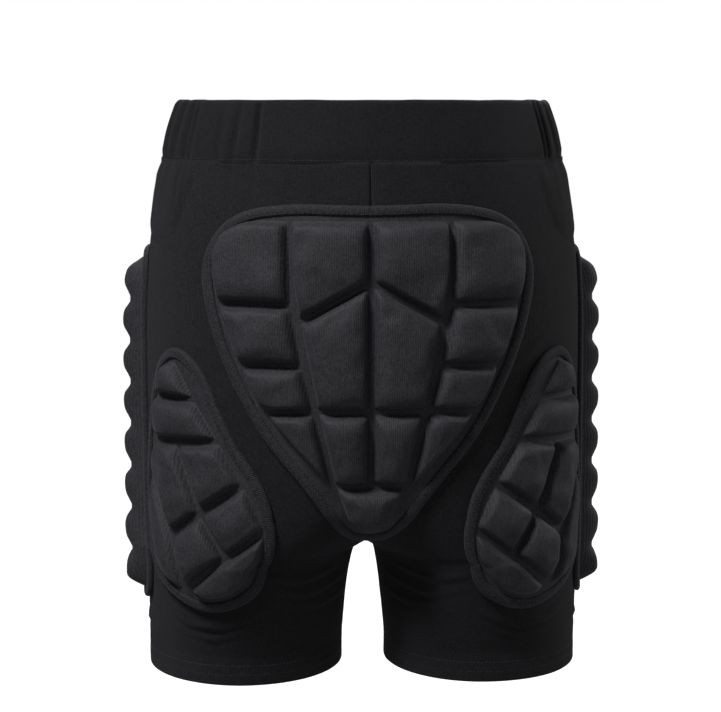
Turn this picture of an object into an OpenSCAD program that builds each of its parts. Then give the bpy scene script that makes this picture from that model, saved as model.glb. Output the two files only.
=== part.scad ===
// Padded impact shorts: a stretch short with segmented foam pads on the seat,
// the backs of the thighs, the sides and, inside, on the hip bones.
// Origin: middle of the waist opening, in the plane of its top edge.
// +Z is up, the seat faces -Y, the front faces +Y. Angles round a leg or the hips
// run from 0 at the back, through 90 at the outer side, to 180 at the front.

/* [Shorts] */
// Width across the waist opening
waist_w = 286; // [250:1:340]
// Depth of the waist opening, front to back
waist_depth = 200; // [170:1:240]
// Width across the hips
hip_w = 332; // [290:1:400]
// How far the seat stands behind the origin
seat_reach = 118; // [98:1:142]
// How far the front stands before the origin
front_reach = 104; // [88:1:126]
// Height from the crotch to the top edge
rise = 336; // [280:1:404]
// Length of a leg below the crotch
inseam = 97; // [80:1:120]
// Level of the fullest hip, below the top edge
hip_drop = 180; // [150:1:216]
// Level where the two seat halves begin to part
cleft_drop = 200; // [166:1:240]
// Distance between the middles of the leg openings
leg_spacing = 182; // [160:1:216]
// Outer radius of a leg opening
leg_r = 74.5; // [62:0.5:84]
// Thickness of the stretch cloth
cloth = 1.2; // [0.8:0.1:2]

/* [Waistband and hems] */
// Height of the waistband
band_h = 45; // [37:1:54]
// Thickness of the folded band over its elastic
band_t = 4.2; // [3.8:0.1:6]
// Thickness of the elastic
elastic_t = 1.2; // [0.8:0.1:1.6]
// Height of the elastic
elastic_h = 38; // [28:1:38]
// Half angle of the smooth back part of the band
band_back_angle = 47; // [38:1:56]
// Angle where the gathered side meets the front part
band_front_angle = 118; // [100:1:130]
// Height of a leg hem
hem_h = 22; // [16:1:27]
// Thickness of a folded leg hem
hem_t = 2; // [1.4:0.1:3]

/* [Pads] */
// Thickness of the layer that the foam blocks sit on
backing_t = 1.6; // [1:0.1:3]
// Width of the tape round a pad
binding_w = 6; // [4:0.5:8]
// Thickness of the tape round a pad
binding_t = 2; // [1.4:0.1:3]
// Width of the flat channels between blocks
channel_w = 5; // [4:0.5:7]
// Clearance between layers that lie on each other
gap = 0.5; // [0.3:0.1:1]

/* [Seat pad] */
// Width of the seat pad
seat_pad_w = 234; // [195:1:250]
// Level of the seat pad's top, below the top edge
seat_pad_drop = 76; // [64:1:78]
// Distance from the crotch up to the seat pad's tail
seat_pad_tail = 16; // [8:1:40]
// Height of the seat pad's blocks
seat_foam = 12.5; // [8:0.5:15]

/* [Thigh pads] */
// Width of a thigh pad
thigh_pad_w = 118; // [98:1:124]
// Height of a thigh pad
thigh_pad_h = 191; // [160:1:196]
// Distance from the crotch up to the level of a thigh pad's top
thigh_pad_up = 154; // [136:1:160]
// Height of a thigh pad's blocks
thigh_foam = 11.5; // [8:0.5:14]

/* [Side pads] */
// Width of a side pad
side_pad_w = 108; // [90:1:110]
// Height of a side pad
side_pad_h = 268; // [223:1:270]
// Distance from the crotch up to the level of a side pad's top
side_pad_up = 224; // [211:1:230]
// Height of a side pad's blocks
side_foam = 15; // [8:0.5:16]
// Rows of blocks on a side pad
side_rows = 8; // [5:1:9]
// Angle of a side pad's middle line
side_pad_angle = 104; // [100:1:112]

/* [Hip pads] */
// Width of a thin pad over the hip bone
hip_pad_w = 96; // [80:1:115]
// Height of a hip pad
hip_pad_h = 58; // [48:1:60]
// Thickness of a hip pad
hip_foam = 6; // [4:0.5:8]
// Distance from the waistband down to a hip pad
hip_pad_drop = 3; // [1:1:8]
// Angle of a hip pad's middle line
hip_pad_angle = 76; // [65:1:90]

/* [Hidden] */
$fn = 96;
leg_length = rise + inseam;
seat_pad_h = rise - seat_pad_drop - seat_pad_tail;
thigh_pad_drop = rise - thigh_pad_up;
side_pad_drop = rise - side_pad_up;
hem_top = hem_h - leg_length;
layer_top = gap + backing_t + gap;
crotch_x = hip_w / 4;
tuck_h = 26;
tuck_in = 22;
torso_rows = 16;
panel_rows = 23;
seam_gap = 0.3;
panel_cols = 11;
seat_mm = [seat_pad_w / 2, seat_pad_h];
thigh_mm = [thigh_pad_w / 2, thigh_pad_h];
side_mm = [side_pad_w / 2, side_pad_h];
hip_mm = [hip_pad_w / 2, hip_pad_h];
SHELL = [0.13, 0.13, 0.14];
BAND = [0.11, 0.11, 0.12];
TAPE = [0.16, 0.16, 0.17];
FOAM = [0.22, 0.22, 0.24];
MESH = [0.08, 0.08, 0.09];
ELASTIC = [0.3, 0.3, 0.32];

SEAT_BLOCKS = ["top_outer", "top_inner", "second_outer", "centre_long", "third_outer",
               "lower_outer", "lower_inner"];
THIGH_BLOCKS = ["top", "second", "inner_middle", "outer_middle", "inner_lower",
                "outer_lower", "bottom_crescent", "outer_crescent"];
SIDES = ["left", "right"];

// ---- The body form that every piece lies on ----
function mix(a, b, t) = a + (b - a) * t;
function share(z, from, to) = min(1, max(0, (from - z) / (from - to)));
function filled_out(z) = 1 - pow(1 - share(z, 0, -hip_drop), 2);
function taper(z) = share(z, -hip_drop, hem_top);

function half_width(z) = mix(mix(waist_w, hip_w, filled_out(z)) / 2,
                             leg_spacing / 2 + leg_r, share(z, -rise, hem_top));
function back_reach(z) = mix(mix(waist_depth / 2, seat_reach, filled_out(z)), leg_r,
                             pow(taper(z), 1.9));
function fore_reach(z) = mix(mix(waist_depth / 2, front_reach, filled_out(z)), leg_r,
                             pow(taper(z), 1.5));
// How far each half's middle has moved out from the body's middle
function lobe_x(z) = z > -rise
    ? crotch_x * pow(share(z, -cleft_drop, -rise), 1.5)
    : mix(crotch_x, leg_spacing / 2, pow(share(z, -rise, hem_top), 0.35));
function lobe_w(z) = half_width(z) - lobe_x(z);
function reach(a, z) = a > 90 && a < 270 ? fore_reach(z) : back_reach(z);
function mean_radius(z) = (lobe_w(z) + back_reach(z)) / 2;

// A point h off the cloth's outer face, on the right half
function skin(a, z, h) = [lobe_x(z) + (lobe_w(z) + h) * sin(a), -(reach(a, z) + h) * cos(a), z];
// The angle where the right half meets the middle plane
function inner_angle(z, h) = lobe_x(z) >= lobe_w(z) + h ? -90 : -asin(lobe_x(z) / (lobe_w(z) + h));

// The seat pad bridges the cleft, and its tail tucks in towards the crotch
function tail_tuck(z) =
    tuck_in * pow(share(z, tuck_h - seat_pad_drop - seat_pad_h, -seat_pad_drop - seat_pad_h), 1.9);
function seat_depth(z) = back_reach(z) - tail_tuck(z);
function seat_lean(z) = atan((seat_depth(z + 1) - seat_depth(z - 1)) / 2);
function seat_point(u, v, h) =
    let (z = v - seat_pad_drop, x = abs(u), a = x > lobe_x(z) ? asin((x - lobe_x(z)) / lobe_w(z)) : 0,
         out = h * cos(seat_lean(z)), way = u < 0 ? -1 : 1)
    [way * (x + h * sin(a)), -(seat_depth(z) * cos(a) + out * cos(a)), z - h * sin(seat_lean(z))];

// Pads that wrap round the right leg: u runs round it from the pad's middle line, v down it
function wrapped(angle, z, u, h) = skin(angle + u / mean_radius(z) * 180 / PI, z, h);
function thigh_line(v) = lookup(v / thigh_pad_h,
    [[-1, 20], [-0.83, 28], [-0.62, 41], [-0.36, 52], [-0.2, 55.5], [0, 57]]);
function thigh_point(u, v, h) = wrapped(thigh_line(v), v - thigh_pad_drop, u, h);
function side_point(u, v, h) = wrapped(side_pad_angle, v - side_pad_drop, u, h);
function hip_point(u, v, h) = wrapped(hip_pad_angle, v - band_h - hip_pad_drop, u, h);

// ---- Flat outlines, as shares of a pad's half width and height, v down from its top ----
SEAT_EDGE = [[0, 0], [0.55, 0], [0.86, -0.05], [1, -0.19], [0.92, -0.4], [0.69, -0.635],
             [0.43, -0.8], [0.24, -0.925], [0.1, -0.99]];
THIGH_EDGE = [[0, 0], [0.34, -0.05], [0.56, -0.16], [0.72, -0.3], [0.95, -0.48], [1.02, -0.64],
              [0.92, -0.83], [0.6, -0.94], [0, -1], [-0.6, -0.94], [-0.92, -0.83], [-1.02, -0.64],
              [-0.95, -0.48], [-0.72, -0.3], [-0.56, -0.16], [-0.34, -0.05]];
SIDE_EDGE = [[0, 0], [0.7, -0.01], [0.97, -0.08], [1, -0.3], [1, -0.7], [0.97, -0.92], [0.7, -0.99],
             [0, -1], [-0.7, -0.99], [-0.97, -0.92], [-1, -0.7], [-1, -0.3], [-0.97, -0.08], [-0.7, -0.01]];
HIP_EDGE = [[-0.98, -0.03], [0, 0], [0.98, -0.03], [0.95, -0.4], [0.7, -0.83], [0, -1], [-0.7, -0.83],
            [-0.95, -0.4]];

function scaled(points, mm) = [for (p = points) [p.x * mm.x, p.y * mm.y]];
function mirrored_loop(half) = concat(half, [for (i = [len(half) - 1:-1:1]) [-half[i].x, half[i].y]]);
// A closed smooth curve through the points, in steps per span
function spline(p, steps) = [for (i = [0:len(p) - 1], k = [0:steps - 1])
    let (n = len(p), t = k / steps,
         a = p[(i + n - 1) % n], b = p[i], c = p[(i + 1) % n], d = p[(i + 2) % n])
    b + 0.5 * t * (c - a + t * (2 * a - 5 * b + 4 * c - d + t * (3 * (b - c) + d - a)))];
function total(list) = [for (i = list) 1] * list;
// Twice the signed area of an outline, above 0 when it runs anticlockwise
function turning(p) = total([for (i = [0:len(p) - 1])
    let (q = p[(i + 1) % len(p)]) p[i].x * q.y - q.x * p[i].y]);
function reversed(p) = [for (i = [len(p) - 1:-1:0]) p[i]];
function anticlockwise(p) = turning(p) > 0 ? p : reversed(p);
function unit(v) = v / norm(v);
function left_of(v) = [-v.y, v.x];
// Every side of an anticlockwise outline moved in by d
function inset(p, d) = [for (i = [0:len(p) - 1])
    let (n = len(p), m = left_of(unit(p[i] - p[(i + n - 1) % n])),
         k = left_of(unit(p[(i + 1) % n] - p[i])))
    p[i] + d * (m + k) / (1 + m * k)];
// Extra points along each side, no further apart than step
function divided(p, step) = [for (i = [0:len(p) - 1])
    let (q = p[(i + 1) % len(p)], n = max(1, ceil(norm(q - p[i]) / step)))
    for (k = [0:n - 1]) mix(p[i], q, k / n)];
function middle(p) = total(p) / len(p);
function shrunk(p, s) = let (c = middle(p)) [for (q = p) mix(c, q, s)];

seat_edge = anticlockwise(scaled(spline(mirrored_loop(SEAT_EDGE), 3), seat_mm));
thigh_edge = anticlockwise(scaled(spline(THIGH_EDGE, 3), thigh_mm));
side_edge = anticlockwise(scaled(spline(SIDE_EDGE, 3), side_mm));
hip_edge = anticlockwise(scaled(spline(HIP_EDGE, 3), hip_mm));

// Block outlines along the channels' middle lines, on the right half of the seat pad
SEAT_CELLS = [
    [[0.483, -0.036], [0.77, -0.034], [0.89, -0.068], [0.95, -0.12], [0.957, -0.192], [0.927, -0.284],
     [0.47, -0.284]],
    [[0, -0.036], [0.483, -0.036], [0.487, -0.2], [0.436, -0.336], [0, -0.216]],
    [[0.47, -0.284], [0.927, -0.284], [0.8, -0.46], [0.406, -0.46]],
    [[0, -0.216], [0.436, -0.336], [0.333, -0.592], [0, -0.592]],
    [[0.406, -0.46], [0.8, -0.46], [0.658, -0.596], [0.333, -0.592]],
    [[0.333, -0.592], [0.658, -0.596], [0.214, -0.85]],
    [[0, -0.592], [0.333, -0.592], [0.23, -0.814], [0, -0.814]]];
TAIL_CELL = [[-0.23, -0.814], [0.23, -0.814], [0.15, -0.925], [0, -0.965], [-0.15, -0.925]];
// The same on a thigh pad, where u grows towards the outer side
THIGH_CELLS = [
    [[0, -0.035], [0.26, -0.05], [0.52, -0.186], [-0.34, -0.186]],
    [[-0.34, -0.186], [0.52, -0.186], [0.57, -0.361], [-0.62, -0.335]],
    [[-0.62, -0.335], [0.06, -0.358], [-0.13, -0.618], [-0.78, -0.492]],
    [[0.06, -0.358], [0.57, -0.361], [0.8, -0.46], [0.39, -0.717], [-0.13, -0.618]],
    [[-0.78, -0.492], [-0.13, -0.618], [-0.4, -0.782], [-0.95, -0.66]],
    [[-0.13, -0.618], [0.39, -0.717], [0.27, -0.92], [-0.4, -0.782]],
    [[-0.95, -0.66], [0.25, -0.925], [0, -0.965], [-0.35, -0.945], [-0.65, -0.885], [-0.87, -0.79]],
    [[0.8, -0.47], [0.94, -0.6], [0.93, -0.72], [0.8, -0.84], [0.57, -0.91], [0.29, -0.935], [0.4, -0.717]]];
side_margin = binding_w + gap;
side_row_h = (side_pad_h - 2 * side_margin) / side_rows;
function side_cell(row, column) =
    let (w = side_pad_w / 2 - side_margin, top = -side_margin - row * side_row_h, low = top - side_row_h,
         bend = side_row_h * 0.12)
    column == 0 ? [[-w, top], [-w, low], [0, low - bend], [0, top - bend]]
                : [[0, top - bend], [0, low - bend], [w, low], [w, top]];

// ---- Closed solids from rows of points ----
function flat_list(rows) = [for (row = rows) each row];
// Two matching sheets of rows, the outer one first, joined round their rims
module slab(outer, inner) {
    n = len(outer);
    m = len(outer[0]);
    function o(i, j) = i * m + j;
    function q(i, j) = n * m + i * m + j;
    sheets = [for (i = [0:n - 2], j = [0:m - 2]) each [
        [o(i, j), o(i, j + 1), o(i + 1, j + 1)], [o(i, j), o(i + 1, j + 1), o(i + 1, j)],
        [q(i, j), q(i + 1, j + 1), q(i, j + 1)], [q(i, j), q(i + 1, j), q(i + 1, j + 1)]]];
    ends = [for (j = [0:m - 2]) each [
        [o(0, j + 1), o(0, j), q(0, j)], [o(0, j + 1), q(0, j), q(0, j + 1)],
        [o(n - 1, j), o(n - 1, j + 1), q(n - 1, j + 1)], [o(n - 1, j), q(n - 1, j + 1), q(n - 1, j)]]];
    edges = [for (i = [0:n - 2]) each [
        [o(i, 0), o(i + 1, 0), q(i + 1, 0)], [o(i, 0), q(i + 1, 0), q(i, 0)],
        [o(i + 1, m - 1), o(i, m - 1), q(i, m - 1)], [o(i + 1, m - 1), q(i, m - 1), q(i + 1, m - 1)]]];
    polyhedron(concat(flat_list(outer), flat_list(inner)), concat(sheets, ends, edges));
}

// Faces of a stack of equal rings, anticlockwise seen from outside, between two end points.
// Points are the lower end, the rings from low to high, and the upper end, from index start.
function stack_faces(n, rings, start) = concat(
    [for (i = [0:n - 1]) [start + 1 + i, start + 1 + (i + 1) % n, start]],
    [for (k = [0:rings - 2], i = [0:n - 1])
        let (a = start + 1 + k * n, b = a + n, j = (i + 1) % n)
        each [[a + i, b + i, b + j], [a + i, b + j, a + j]]],
    [for (i = [0:n - 1]) let (a = start + 1 + (rings - 1) * n)
        [a + (i + 1) % n, a + i, start + 1 + rings * n]]);

// A foam block on a cell: steep sides, a rounded shoulder and a slight crown
function block_points(cell, h, place) =
    let (foot = divided(inset(anticlockwise(cell), channel_w / 2), 13), c = middle(foot),
         rings = [[0.985, 0], [1, 0.25], [0.94, 0.75], [0.82, 0.93], [0.5, 1]], base = layer_top)
    concat([place(c.x, c.y, base)],
           [for (r = rings, p = shrunk(foot, r[0])) place(p.x, p.y, base + h * r[1])],
           [place(c.x, c.y, base + h * 1.01)]);
function block_size(cell) = len(divided(inset(anticlockwise(cell), channel_w / 2), 13));
module blocks(cells, h, place) {
    points = [for (c = cells) block_points(c, h, place)];
    sizes = [for (c = cells) block_size(c)];
    starts = [for (i = 0, s = 0; i < len(cells); s = s + len(points[i]), i = i + 1) s];
    polyhedron(flat_list(points), [for (i = [0:len(cells) - 1]) each stack_faces(sizes[i], 5, starts[i])]);
}

// A flat layer inside an outline, from h0 to h1 off the cloth
module layer(edge, h0, h1, place) {
    c = middle(edge);
    rings = 5;
    low = [for (i = [1:rings], p = shrunk(edge, i / rings)) place(p.x, p.y, h0)];
    high = [for (i = [rings:-1:1], p = shrunk(edge, i / rings)) place(p.x, p.y, h1)];
    polyhedron(concat([place(c.x, c.y, h0)], low, high, [place(c.x, c.y, h1)]),
               stack_faces(len(edge), 2 * rings, 0));
}

// Faces of a closed ring of n sections with k points each
function ring_faces(n, k) = [for (i = [0:n - 1], j = [0:k - 1])
    let (a = k * i, b = k * ((i + 1) % n), l = (j + 1) % k)
    each [[a + j, a + l, b + l], [a + j, b + l, b + j]]];

// A tape of width w just inside an outline, from h0 to h1 off the cloth
module tape(edge, w, h0, h1, place) {
    inner = inset(edge, w);
    n = len(edge);
    points = [for (i = [0:n - 1]) each [
        place(edge[i].x, edge[i].y, h0), place(edge[i].x, edge[i].y, h1),
        place(inner[i].x, inner[i].y, h1), place(inner[i].x, inner[i].y, h0)]];
    polyhedron(points, ring_faces(n, 4));
}

// ---- The short itself ----
function panel_row(z, from, to, h) = [for (j = [0:panel_cols]) skin(mix(from, to, j / panel_cols), z, h)];
// Rows of a panel: closer together towards the crotch, with one row at its level
function panel_z(i) = i <= torso_rows
    ? mix(-band_h - seam_gap, -rise, 1 - pow(1 - i / torso_rows, 1.4))
    : mix(-rise, hem_top + seam_gap, pow((i - torso_rows) / (panel_rows - torso_rows), 1.5));
module back_panel() color(SHELL) slab(
    [for (i = [0:panel_rows]) let (z = panel_z(i)) panel_row(z, inner_angle(z, 0), 90, 0)],
    [for (i = [0:panel_rows]) let (z = panel_z(i)) panel_row(z, inner_angle(z, -cloth), 90, -cloth)]);
module front_panel() color(SHELL) slab(
    [for (i = [0:panel_rows]) let (z = panel_z(i)) panel_row(z, 90, 180 - inner_angle(z, 0), 0)],
    [for (i = [0:panel_rows]) let (z = panel_z(i)) panel_row(z, 90, 180 - inner_angle(z, -cloth), -cloth)]);

// A folded band: outer ply, top fold and inner ply, open below for the elastic
ply = (band_t - elastic_t - 2 * gap) / 2;
module band(from, to, steps) {
    section = [[0, -band_h], [0, 0], [-band_t, 0], [-band_t, -band_h], [ply - band_t, -band_h],
               [ply - band_t, -ply], [-ply, -ply], [-ply, -band_h]];
    cap = [[0, 1, 6], [0, 6, 7], [1, 2, 5], [1, 5, 6], [2, 3, 4], [2, 4, 5]];
    points = [for (i = [0:steps]) each [for (p = section) skin(mix(from, to, i / steps), p.y, p.x)]];
    walls = [for (i = [0:steps - 1], k = [0:7])
        let (a = 8 * i, b = a + 8, l = (k + 1) % 8)
        each [[a + k, a + l, b + l], [a + k, b + l, b + k]]];
    polyhedron(points, concat(walls, reversed_faces(cap, 0), shifted(cap, 8 * steps)));
}
function shifted(faces, n) = [for (f = faces) [for (i = f) i + n]];
function reversed_faces(faces, n) = [for (f = faces) [f[2] + n, f[1] + n, f[0] + n]];
module waistband_back() color(BAND) band(-band_back_angle, band_back_angle, 18);
module waistband_side() color(BAND) band(band_back_angle, band_front_angle, 14);
module waistband_front() color(BAND) band(band_front_angle, 360 - band_front_angle, 22);
module waist_elastic() color(ELASTIC) {
    out = -ply - gap;
    low = -ply - gap - elastic_h;
    section = [[out, low], [out, -ply - gap], [out - elastic_t, -ply - gap], [out - elastic_t, low]];
    n = 60;
    points = [for (i = [0:n - 1]) each [for (p = section) skin(360 * i / n, p.y, p.x)]];
    polyhedron(points, ring_faces(n, 4));
}
module leg_hem() color(SHELL) translate([leg_spacing / 2, 0, -leg_length]) difference() {
    cylinder(h = hem_h, r = leg_r);
    translate([0, 0, -1]) cylinder(h = hem_h + 2, r = leg_r - hem_t);
}

// ---- The pads ----
module hip_pad() color(FOAM)
    layer(hip_edge, -cloth - gap - hip_foam, -cloth - gap, function(u, v, h) hip_point(u, v, h));
module seat_pad_backing() color(MESH)
    layer(seat_edge, gap, gap + backing_t, function(u, v, h) seat_point(u, v, h));
module seat_pad_binding() color(TAPE)
    tape(seat_edge, binding_w, layer_top, layer_top + binding_t, function(u, v, h) seat_point(u, v, h));
module seat_foam(cell) color(FOAM)
    blocks([scaled(cell, seat_mm)], seat_foam, function(u, v, h) seat_point(u, v, h));
module thigh_pad_backing() color(MESH)
    layer(thigh_edge, gap, gap + backing_t, function(u, v, h) thigh_point(u, v, h));
module thigh_pad_binding() color(TAPE)
    tape(thigh_edge, binding_w, layer_top, layer_top + binding_t,
         function(u, v, h) thigh_point(u, v, h));
module thigh_foam(cell) color(FOAM)
    blocks([scaled(cell, thigh_mm)], thigh_foam, function(u, v, h) thigh_point(u, v, h));
module side_pad_backing() color(MESH)
    layer(side_edge, gap, gap + backing_t, function(u, v, h) side_point(u, v, h));
module side_pad_binding() color(TAPE)
    tape(side_edge, binding_w, layer_top, layer_top + binding_t, function(u, v, h) side_point(u, v, h));
module side_foam_column(column) color(FOAM)
    blocks([for (row = [0:side_rows - 1]) side_cell(row, column)], side_foam,
           function(u, v, h) side_point(u, v, h));

// Draws a right-hand piece on the side that its node's name ends in
module on_side(side) {
    if (side == "right") children();
    else mirror([1, 0, 0]) children();
}

waistband_back();
waistband_front();
waist_elastic();
seat_pad_backing();
seat_pad_binding();
seat_foam(TAIL_CELL);  // seat_foam_tail
for (s = SIDES) {
    on_side(s) waistband_side();
    on_side(s) back_panel();
    on_side(s) front_panel();
    on_side(s) leg_hem();
    on_side(s) hip_pad();
    for (i = [0:len(SEAT_BLOCKS) - 1])
        on_side(s) seat_foam(SEAT_CELLS[i]);
    on_side(s) thigh_pad_backing();
    on_side(s) thigh_pad_binding();
    for (i = [0:len(THIGH_BLOCKS) - 1])
        on_side(s) thigh_foam(THIGH_CELLS[i]);
    on_side(s) side_pad_backing();
    on_side(s) side_pad_binding();
    on_side(s) side_foam_column(0);
    on_side(s) side_foam_column(1);
}
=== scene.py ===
# %% [markdown]
# # Padded impact shorts
#
# These are stretch shorts with foam pads sewn to the outside: a large pad on the seat, a
# teardrop on the back of each thigh and a strip down each side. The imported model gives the
# form that they take on a wearer. This lesson dresses that form in cloth: a soft shell,
# a gathered waistband, pads that swell between pressed channels, tape and stitches.

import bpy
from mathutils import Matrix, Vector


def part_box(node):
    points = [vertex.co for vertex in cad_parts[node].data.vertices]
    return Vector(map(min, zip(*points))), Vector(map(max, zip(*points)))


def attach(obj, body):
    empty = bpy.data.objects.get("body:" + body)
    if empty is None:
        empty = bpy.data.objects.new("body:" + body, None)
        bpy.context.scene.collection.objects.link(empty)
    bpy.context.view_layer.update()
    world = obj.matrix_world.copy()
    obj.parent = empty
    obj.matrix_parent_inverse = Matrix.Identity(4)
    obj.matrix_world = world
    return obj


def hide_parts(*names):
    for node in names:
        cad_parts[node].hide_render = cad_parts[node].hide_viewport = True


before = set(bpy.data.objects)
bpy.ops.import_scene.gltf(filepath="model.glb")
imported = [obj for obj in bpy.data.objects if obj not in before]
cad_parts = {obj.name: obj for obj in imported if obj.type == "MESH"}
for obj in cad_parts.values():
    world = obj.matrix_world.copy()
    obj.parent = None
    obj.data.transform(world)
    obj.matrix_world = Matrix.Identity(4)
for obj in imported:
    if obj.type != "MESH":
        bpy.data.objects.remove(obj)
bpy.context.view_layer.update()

# %% Modules
import math

import bpy
import numpy as np
from mathutils import Vector, noise

MM = 0.001
ROOT = "root"
SIDES = {"right": 1, "left": -1}

# %% [markdown]
# ## The form that everything lies on
#
# The body under the shorts is described by a few sizes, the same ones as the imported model's.
# At each level z, each half of the body is an ellipse. Above the seat's cleft the two
# ellipses share one middle, and below it their middles move apart until, at the crotch, they
# are two legs. One formula for the whole form means that every layer, from the shell to a
# stitch, can be placed by an angle, a level and a height off the cloth.

# %% Sizes of the form
hem_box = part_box("leg_hem_right")
band_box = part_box("waistband_back")
LEG_LENGTH = -hem_box[0][2]
HEM_TOP = hem_box[1][2]
LEG_R = (hem_box[1][0] - hem_box[0][0]) / 2
LEG_X = (hem_box[1][0] + hem_box[0][0]) / 2
BAND_H = -band_box[0][2]
HIP_W = 2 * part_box("back_panel_right")[1][0]
WAIST_W, WAIST_DEPTH = 0.286, 0.200
SEAT_REACH, FRONT_REACH = 0.118, 0.104
RISE, HIP_DROP, CLEFT_DROP = 0.336, 0.180, 0.200
HEM_ROWS = (8 * MM, 15 * MM)
print(f"leg {LEG_LENGTH:.3f} m, opening radius {LEG_R:.4f} m, band {BAND_H:.3f} m, hips {HIP_W:.3f} m")


# %% The form as functions of level and angle
def mix(a, b, t):
    return a + (b - a) * t


def share(z, start, end):
    return np.clip((start - z) / (start - end), 0, 1)


def smooth(t):
    t = np.clip(t, 0, 1)
    return t * t * (3 - 2 * t)


def filled_out(z):
    return 1 - (1 - share(z, 0, -HIP_DROP)) ** 2


def half_width(z):
    body = mix(WAIST_W, HIP_W, filled_out(z)) / 2
    return mix(body, LEG_X + LEG_R, share(z, -RISE, HEM_TOP))


def back_reach(z):
    taper = share(z, -HIP_DROP, HEM_TOP)
    return mix(mix(WAIST_DEPTH / 2, SEAT_REACH, filled_out(z)), LEG_R, taper**1.9)


def fore_reach(z):
    taper = share(z, -HIP_DROP, HEM_TOP)
    return mix(mix(WAIST_DEPTH / 2, FRONT_REACH, filled_out(z)), LEG_R, taper**1.5)


def lobe_x(z):
    apart = HIP_W / 4 * share(z, -CLEFT_DROP, -RISE) ** 1.5
    leg = mix(HIP_W / 4, LEG_X, share(z, -RISE, HEM_TOP) ** 0.35)
    return np.where(z > -RISE, apart, leg)


def lobe_w(z):
    return half_width(z) - lobe_x(z)


def mean_radius(z):
    return (lobe_w(z) + back_reach(z)) / 2


def skin(angle, z, h):
    """Points h off the cloth on the right half. Angle 0 is the back, 90 the outer side."""
    a = np.radians(angle)
    reach = np.where((angle > 90) & (angle < 270), fore_reach(z), back_reach(z))
    x = lobe_x(z) + (lobe_w(z) + h) * np.sin(a)
    return np.stack([x, -(reach + h) * np.cos(a), z + 0 * x], axis=-1)


def inner_angle(z):
    """The angle at which the right half meets the middle plane."""
    return -np.degrees(np.arcsin(np.clip(lobe_x(z) / lobe_w(z), -1, 1)))


print("half width at hip level:", round(float(half_width(-HIP_DROP)), 4))


# %% Where each pad lies
SEAT_DROP, SEAT_W, SEAT_H = 0.076, 0.234, 0.244
THIGH_DROP, THIGH_W, THIGH_H = 0.182, 0.118, 0.191
SIDE_DROP, SIDE_W, SIDE_H, SIDE_ANGLE = 0.112, 0.108, 0.268, 104
HIP_PAD_DROP, HIP_PAD_W, HIP_PAD_H, HIP_PAD_ANGLE = BAND_H + 0.003, 0.096, 0.058, 76
TUCK_H, TUCK_IN = 0.026, 0.022


def seat_depth(z):
    bottom = -SEAT_DROP - SEAT_H
    return back_reach(z) - TUCK_IN * share(z, bottom + TUCK_H, bottom) ** 1.9


def seat_place(u, v, h):
    """The seat pad bridges the cleft, and its tail tucks in towards the crotch."""
    z = v - SEAT_DROP
    lean = np.arctan((seat_depth(z + MM) - seat_depth(z - MM)) / (2 * MM))
    sine = np.clip((np.abs(u) - lobe_x(z)) / lobe_w(z), 0, 1)
    cosine = np.sqrt(1 - sine**2)
    x = np.sign(u) * (np.abs(u) + h * sine)
    return np.stack([x, -(seat_depth(z) + h * np.cos(lean)) * cosine, z - h * np.sin(lean)], axis=-1)


def wrapped(angle, z, u, h):
    return skin(angle + np.degrees(u / mean_radius(z)), z, h)


def thigh_line(v):
    return np.interp(v / THIGH_H, [-1, -0.83, -0.62, -0.36, -0.2, 0], [20, 28, 41, 52, 55.5, 57])


def thigh_place(u, v, h):
    return wrapped(thigh_line(v), v - THIGH_DROP, u, h)


def side_place(u, v, h):
    return wrapped(SIDE_ANGLE, v - SIDE_DROP, u, h)


def hip_pad_place(u, v, h):
    return wrapped(HIP_PAD_ANGLE, v - HIP_PAD_DROP, u, h)


# %% [markdown]
# ## Outlines and blocks, drawn flat
#
# A pad is cut and sewn flat, so it is drawn flat: u runs across, v runs down from the top,
# both as shares of the pad's half width and height. An outline is a smooth closed curve
# through a few points. Each foam block is a cell whose sides lie on the middle lines of the
# channels, so neighbouring blocks always leave an even channel between them.

# %% Outline and cell points
SEAT_EDGE = [(0, 0), (0.55, 0), (0.86, -0.05), (1, -0.19), (0.92, -0.4), (0.69, -0.635),
             (0.43, -0.8), (0.24, -0.925), (0.1, -0.99)]
THIGH_EDGE = [(0, 0), (0.34, -0.05), (0.56, -0.16), (0.72, -0.3), (0.95, -0.48), (1.02, -0.64),
              (0.92, -0.83), (0.6, -0.94), (0, -1)]
SIDE_EDGE = [(0, 0), (0.7, -0.01), (0.97, -0.08), (1, -0.3), (1, -0.7), (0.97, -0.92),
             (0.7, -0.99), (0, -1)]
HIP_PAD_EDGE = [(0, 0), (0.98, -0.03), (0.95, -0.4), (0.7, -0.83), (0, -1)]

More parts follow.
